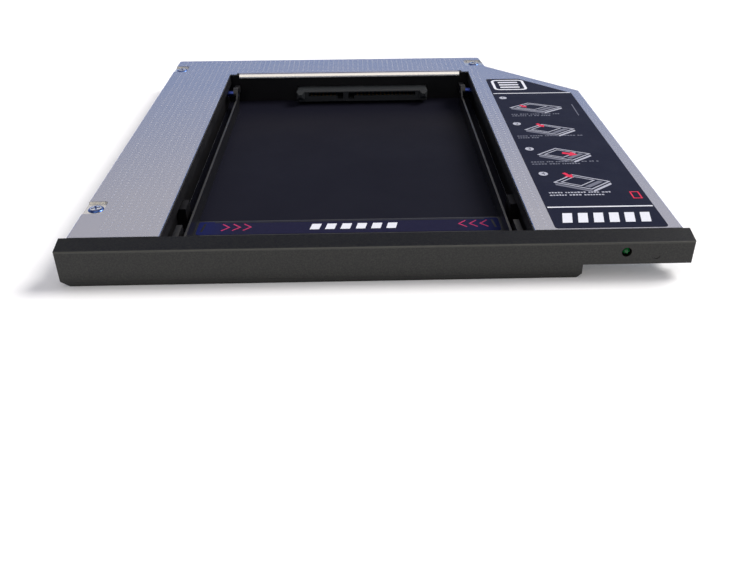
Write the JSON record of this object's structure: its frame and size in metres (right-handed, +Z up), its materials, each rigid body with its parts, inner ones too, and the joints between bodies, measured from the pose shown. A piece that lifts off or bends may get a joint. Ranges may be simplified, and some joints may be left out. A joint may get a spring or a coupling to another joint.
{
  "type": "laptop drive caddy",
  "caption": "Slim-bay caddy that takes an optical drive's place in a notebook and holds a 2.5 inch drive in an open bay under a swinging latch.",
  "frame": {"origin": "middle of the bounding box's base, on the surface that the caddy lies on", "axes": "+Z up out of the open bay, +X to the bezel's thin end, +Y from the bezel to the rear plug"},
  "size_m": [0.1308, 0.1306, 0.0095],
  "materials": {
    "cover_metal": "satin, light dots printed on it",
    "tray_metal": "satin",
    "frame_plastic": "fine matt",
    "bezel_plastic": "textured",
    "latch_plastic": "satin",
    "film": "satin",
    "pin_steel": "blue zinc",
    "screw_steel": "blue zinc",
    "connector_plastic": "fine matt",
    "contact_gold": "gilt",
    "lock_tin": "tinned",
    "board_green": "lacquered",
    "lamp_green": "clear green",
    "flex_amber": "gloss",
    "socket_cream": "matt",
    "label_navy": "satin print",
    "label_blue": "gloss print",
    "chip_tan": "matt",
    "chip_black": "matt"
  },
  "bodies": {
    "caddy": {"top_cover": "cover_metal", "bottom_cover": "tray_metal", "bay_frame": "frame_plastic", "floor_film": "film", "front_bezel": "bezel_plastic", "latch_pins": "pin_steel", "drive_receptacle": "connector_plastic", "signal_contacts": "contact_gold", "power_contacts": "contact_gold", "receptacle_locks": "lock_tin", "main_board": "board_green", "bay_plug": "connector_plastic", "bay_plug_contacts": "contact_gold", "bay_plug_locks": "lock_tin", "led_board": "board_green", "activity_led": "lamp_green", "led_flex": "flex_amber", "flex_socket": "socket_cream", "cover_screws": "screw_steel", "bottom_screws": "screw_steel", "instruction_label": "label_navy", "board_capacitors": "chip_tan", "board_resistors": "chip_black", "led_driver": "chip_black"},
    "latch": {"retaining_latch": "latch_plastic", "latch_label": "label_blue"}
  },
  "joints": [
    {"name": "latch_hinge", "type": "hinge", "parent": "caddy", "child": "latch", "pos_m": [-0.0059, 0.0426, 0.0052], "axis": [-1, 0, 0], "range_deg": [0, 70]}
  ]
}
